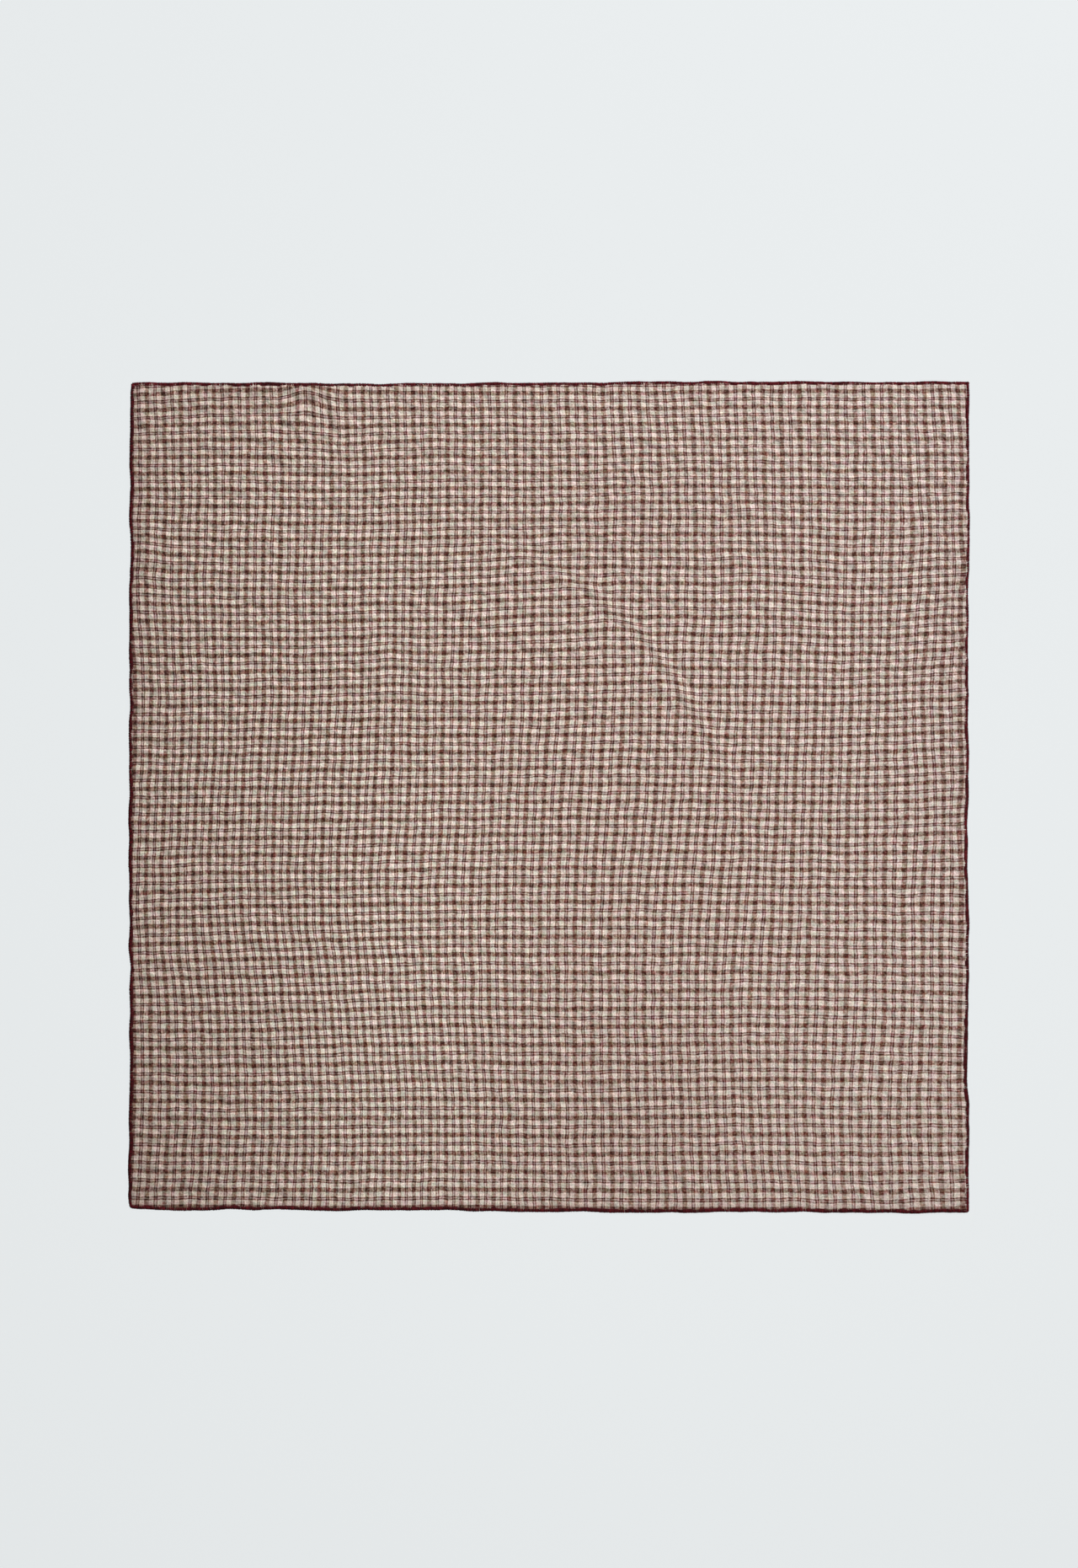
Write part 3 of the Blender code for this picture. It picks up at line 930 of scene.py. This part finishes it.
def cotton_material():
    n = Nodes("checked cotton")
    place = n.uv("cloth")
    u, v, _ = n.split(place)

    def centred(value, amount):
        return n.mul(n.add(value, -0.5), 2 * amount)

    # Yarns wander a little from straight, some millimetres at a time.
    wander_u = n.add(
        centred(n.noise(n.join(n.mul(u, 60.0), n.mul(v, 95.0)), 1.0, 1.0), 0.00055),
        centred(n.noise(n.join(n.mul(u, 420.0), n.mul(v, 260.0), 1.0), 1.0, 0.0), 0.00022),
    )
    wander_v = n.add(
        centred(n.noise(n.join(n.mul(v, 60.0), n.mul(u, 95.0), 0.0), 1.0, 1.0), 0.00055),
        centred(n.noise(n.join(n.mul(v, 420.0), n.mul(u, 260.0), 0.0), 1.0, 0.0), 0.00022),
    )
    warp = n.mul(n.add(u, wander_u), 1 / (REPEAT * MM))
    weft = n.mul(n.add(v, wander_v), 1 / (REPEAT * MM))

    def dyed(repeats, band_at):
        """1 where a yarn is dark, counted in yarns from the middle of the broad band."""
        away = n.math("PINGPONG", n.mul(n.add(repeats, -band_at), float(YARNS)), YARNS / 2)
        broad = n.step(away, 2.7, 3.3, 1.0, 0.0)
        pair = n.step(away, YARNS / 2 - 2.75, YARNS / 2 - 2.25, 0.0, PAIR_DYED)
        gap = n.step(away, YARNS / 2 - 0.7, YARNS / 2 - 0.3, 0.0, PAIR_DYED - GAP_DYED)
        beside = n.mul(
            n.step(away, YARNS / 2 - 4.7, YARNS / 2 - 3.9), n.step(away, YARNS / 2 - 3.0, YARNS / 2 - 2.6, 1.0, 0.0)
        )
        by_broad = n.mul(n.step(away, 3.2, 3.8), n.step(away, 4.6, 5.6, 0.3, 0.0))
        beside = n.math("MAXIMUM", beside, by_broad)
        return n.math("MAXIMUM", broad, n.math("SUBTRACT", pair, gap)), pair, beside

    dark_warp, pair_warp, beside_warp = dyed(warp, WARP_BAND_AT)
    dark_weft, pair_weft, beside_weft = dyed(weft, WEFT_BAND_AT)

    # Each yarn has its own depth of dye and its thick and thin places.
    streak_warp = n.noise(n.join(n.mul(warp, YARNS * 0.9), n.mul(weft, 2.2)), 1.0, 1.0)
    streak_weft = n.noise(n.join(n.mul(weft, YARNS * 0.9), n.mul(warp, 2.2), 0.0), 1.0, 1.0)
    fleck = n.noise(n.join(n.mul(warp, 11.5), n.mul(weft, 11.5)), 1.0, 1.0)
    over = n.add(0.482, n.add(centred(streak_warp, 0.20), centred(fleck, 0.16)))
    depth = n.add(
        n.mul(dark_warp, over), n.mul(dark_weft, n.math("SUBTRACT", 1.0, over))
    )
    depth = n.add(depth, n.mul(centred(streak_weft, 0.14), n.add(dark_warp, dark_weft)))
    patchy = n.noise(n.join(n.mul(warp, 7.5), n.mul(weft, 7.5), 0.0), 1.0, 1.0)
    depth = n.add(depth, n.mul(centred(patchy, 0.42), n.math("MAXIMUM", dark_warp, dark_weft)))
    colour = n.ramp(
        n.mul(depth, 0.9),
        (
            (0.0, ECRU),
            (0.45, TAUPE),
            (0.9, DARK),
            (1.0, DARKEST),
        ),
    )
    # The fine pair of lines is a plummier brown, and the ecru beside it is a little whiter.
    plum = n.math("MULTIPLY", n.math("MAXIMUM", pair_warp, pair_weft), 1 / PAIR_DYED, clamp=True)
    colour = n.mix(plum, colour, n.mix(1.0, colour, (1.0, 0.985, 1.035), "MULTIPLY"))
    crossing = n.math("MULTIPLY", pair_warp, pair_weft, clamp=True)
    colour = n.mix(crossing, colour, n.mix(1.0, colour, (0.91, 0.80, 0.84), "MULTIPLY"))
    white = n.mul(n.math("MAXIMUM", beside_warp, beside_weft), 0.18)
    white = n.add(white, 1.0)
    colour = n.mix(1.0, colour, n.join(white, white, white), "MULTIPLY")
    # The dye leans to red in places and to olive in others.
    lean = n.noise(n.join(n.mul(u, 210.0), n.mul(v, 240.0)), 1.0, 1.0)
    colour = n.mix(
        n.step(lean, 0.30, 0.70, kind="LINEAR"),
        n.mix(1.0, colour, (0.945, 1.028, 0.99), "MULTIPLY"),
        n.mix(1.0, colour, (1.06, 0.97, 1.0), "MULTIPLY"),
    )
    # Where it is dark, the dye took unevenly: redder here, more olive there.
    deep = n.math("POWER", n.math("MAXIMUM", depth, 0.0), 1.35)
    redder = n.mul(centred(n.noise(n.join(n.mul(u, 300.0), n.mul(v, 315.0)), 1.0, 0.0), 0.50), deep)
    bluer = n.mul(
        centred(n.noise(n.join(n.mul(u, 175.0), n.mul(v, -190.0)), 1.0, 2.0), 0.5),
        n.add(0.20, n.mul(deep, 0.80)),
    )
    colour = n.mix(
        1.0,
        colour,
        n.join(
            n.add(1.0, n.mul(redder, 0.62)), n.add(1.0, n.mul(redder, -0.42)), n.add(1.0, n.add(bluer, n.mul(redder, -0.2)))
        ),
        "MULTIPLY",
    )
    # In places the cloth is less worn, and its stripes stand out more.
    stronger = n.tree.nodes.new("ShaderNodeAttribute")
    stronger.attribute_name = "stronger"
    channels = []
    for channel, middle in zip(n.split(colour), srgb(153, 131, 121)):
        ratio = n.math("MAXIMUM", n.mul(channel, 1 / middle), 0.001)
        channels.append(n.mul(n.math("POWER", ratio, stronger.outputs["Fac"]), middle))
    colour = n.join(*channels)
    shade = n.step(fleck, 0.22, 0.78, 0.81, 1.19, "LINEAR")
    speck = n.noise(n.join(n.mul(warp, 21.0), n.mul(weft, 21.0)), 1.0, 0.0)
    shade = n.mul(shade, n.step(speck, 0.2, 0.8, 0.80, 1.20, "LINEAR"))
    # Painted shade: broad patches and a darker strip inside the hem scale the colour, and the darker it is made, the
    # warmer.
    painted_shade_attribute = n.tree.nodes.new("ShaderNodeAttribute")
    painted_shade_attribute.attribute_name = "tone_with_painted_shade"
    shade = n.mul(shade, painted_shade_attribute.outputs["Fac"])
    painted_shade_warmth = n.math("POWER", painted_shade_attribute.outputs["Fac"], 0.3)
    cooler = n.tree.nodes.new("ShaderNodeAttribute")
    cooler.attribute_name = "cooler"
    red = n.mul(shade, n.add(1.0, n.mul(cooler.outputs["Fac"], -0.4)))
    blue = n.mul(n.mul(shade, painted_shade_warmth), n.add(1.0, cooler.outputs["Fac"]))
    colour = n.mix(1.0, colour, n.join(red, n.mul(shade, painted_shade_warmth), blue), "MULTIPLY")
    n.link(colour, n.shader.inputs["Base Color"])

    roughness = n.step(streak_weft, 0.2, 0.8, 0.86, 0.98, "LINEAR")
    n.link(roughness, n.shader.inputs["Roughness"])
    n.shader.inputs["Specular IOR Level"].default_value = 0.25
    n.shader.inputs["Sheen Weight"].default_value = 0.12
    n.shader.inputs["Sheen Roughness"].default_value = 0.5

    # Relief: fine crinkle, then thick and thin yarns, then the plain weave itself.
    # Along the crests (about 32 degrees down to the right) the fine crinkle is half as long again.
    along = n.add(n.mul(u, 0.85), n.mul(v, -0.53))
    across = n.add(n.mul(u, 0.53), n.mul(v, 0.85))
    fine = n.noise(n.join(n.mul(along, 120.0), n.mul(across, 190.0)), 1.0, 2.0, 0.55)
    normal = n.bump(fine, 0.0010, 1.0)
    slub = n.add(streak_warp, streak_weft)
    normal = n.bump(slub, 0.00022, 0.6, normal)
    turn = 2 * math.pi * YARNS / 2
    woven = n.mul(
        n.math("SINE", n.mul(warp, turn)), n.math("SINE", n.mul(weft, turn))
    )
    normal = n.bump(woven, 0.00006, 0.5, normal)
    n.link(normal, n.shader.inputs["Normal"])
    return n.material


def thread_material():
    n = Nodes("hem thread")
    tone_with_painted_shade, along, _ = n.split(n.uv("thread"))
    geometry = n.tree.nodes.new("ShaderNodeTexCoord").outputs["Object"]
    patch = n.noise(geometry, 18.0, 2.0, 0.5, "3D")
    mixed = n.add(n.mul(tone_with_painted_shade, 0.55), n.mul(patch, 0.45))
    colour = n.ramp(
        mixed,
        (
            (0.15, srgb(43, 3, 5)),
            (0.5, srgb(72, 8, 14)),
            (0.85, srgb(102, 21, 30)),
        ),
    )
    # Painted shade: the thread is darker where it turns round the edge.
    edge = n.step(n.math("ABSOLUTE", n.add(along, -0.5)), 0.08, 0.30, 0.66, 1.0)
    colour = n.mix(1.0, colour, n.join(edge, edge, edge), "MULTIPLY")
    n.link(colour, n.shader.inputs["Base Color"])
    n.shader.inputs["Roughness"].default_value = 0.75
    n.shader.inputs["Specular IOR Level"].default_value = 0.10
    ply = n.math("SINE", n.add(n.mul(along, 60.0), n.mul(tone_with_painted_shade, 6.0)))
    n.link(n.bump(ply, 0.00006, 0.6), n.shader.inputs["Normal"])
    return n.material


def plain_thread_material(name, colour):
    n = Nodes(name)
    geometry = n.tree.nodes.new("ShaderNodeTexCoord").outputs["Object"]
    patch = n.noise(geometry, 900.0, 2.0, 0.6, "3D")
    deep = tuple(0.6 * c for c in colour)
    n.link(n.ramp(patch, ((0.3, deep), (0.7, colour))), n.shader.inputs["Base Color"])
    n.shader.inputs["Roughness"].default_value = 0.8
    n.shader.inputs["Specular IOR Level"].default_value = 0.2
    n.link(n.bump(patch, 0.0002, 0.5), n.shader.inputs["Normal"])
    return n.material


# ================================================================================================
# the scarf
# ================================================================================================
cloth = build_cloth()
cloth.data.materials.append(cotton_material())
thread = thread_material()
stitches = build_stitches(thread)
roll = build_roll(plain_thread_material("hem roll", srgb(54, 7, 11)))
lock_line = build_lock_line(plain_thread_material("lock thread", srgb(80, 15, 22)))
hem_pieces = [*stitches, roll, lock_line]

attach(cloth, "root")
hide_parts("scarf")
for piece in hem_pieces:
    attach(piece, "root")


# ================================================================================================
# studio
# ================================================================================================
def build_floor():
    """A pale table, lit a little from below as well, so that it stays even round the cloth."""
    n = Nodes("pale floor")
    n.shader.inputs["Base Color"].default_value = (0.07, 0.072, 0.0725, 1)
    n.shader.inputs["Roughness"].default_value = 0.9
    n.shader.inputs["Specular IOR Level"].default_value = 0.1
    n.shader.inputs["Emission Color"].default_value = (0.955, 0.99, 1.0, 1)
    n.shader.inputs["Emission Strength"].default_value = 0.762
    size = 6.0
    mesh = bpy.data.meshes.new("floor")
    corners = [(-size, -size, 0), (size, -size, 0), (size, size, 0), (-size, size, 0)]
    mesh.from_pydata(corners, [], [(0, 1, 2, 3)])
    floor = bpy.data.objects.new("floor", mesh)
    mesh.materials.append(n.material)
    bpy.context.scene.collection.objects.link(floor)


def build_lamp(name, place, aim, size, energy, colour, spread=180.0, shadow=True):
    light = bpy.data.lights.new(name, "AREA")
    light.shape = "DISK"
    light.size = size
    light.energy = energy
    light.color = colour
    light.spread = math.radians(spread)
    light.use_shadow = shadow
    lamp = bpy.data.objects.new(name, light)
    lamp.location = place
    way = Vector(aim) - Vector(place)
    lamp.rotation_euler = way.to_track_quat("-Z", "Y").to_euler()
    lamp.visible_camera = False
    bpy.context.scene.collection.objects.link(lamp)


def build_light():
    world = bpy.data.worlds.new("studio")
    bpy.context.scene.world = world
    world.use_nodes = True
    background = world.node_tree.nodes["Background"]
    background.inputs["Color"].default_value = (0.97, 0.99, 1.0, 1)
    background.inputs["Strength"].default_value = AMBIENT
    build_lamp("main light", (0.30, -0.50, 1.11), (0.05, 0.09, 0), 0.9, MAIN, (1.0, 0.99, 0.975), 90.0)
    build_lamp("low light", (0.86, 2.21, 0.70), (0, 0, 0), 0.8, LOW, (0.985, 0.99, 1.03), shadow=False)


AMBIENT = 0.296
MAIN = 2.64
LOW = 79.5


def build_camera():
    camera = bpy.data.cameras.new("camera")
    camera.sensor_width = 36.0
    height = 4.0
    tall = 1.3064  # what the frame's long side takes in, on the floor
    camera.lens = 36.0 * height / tall
    camera.clip_end = 50.0
    made = bpy.data.objects.new("camera", camera)
    made.location = (-0.00842, 0.01088, height)
    bpy.context.scene.collection.objects.link(made)
    bpy.context.scene.camera = made


build_floor()
build_light()
build_camera()
settings = bpy.context.scene.view_settings
settings.view_transform = "Standard"
settings.look = "None"
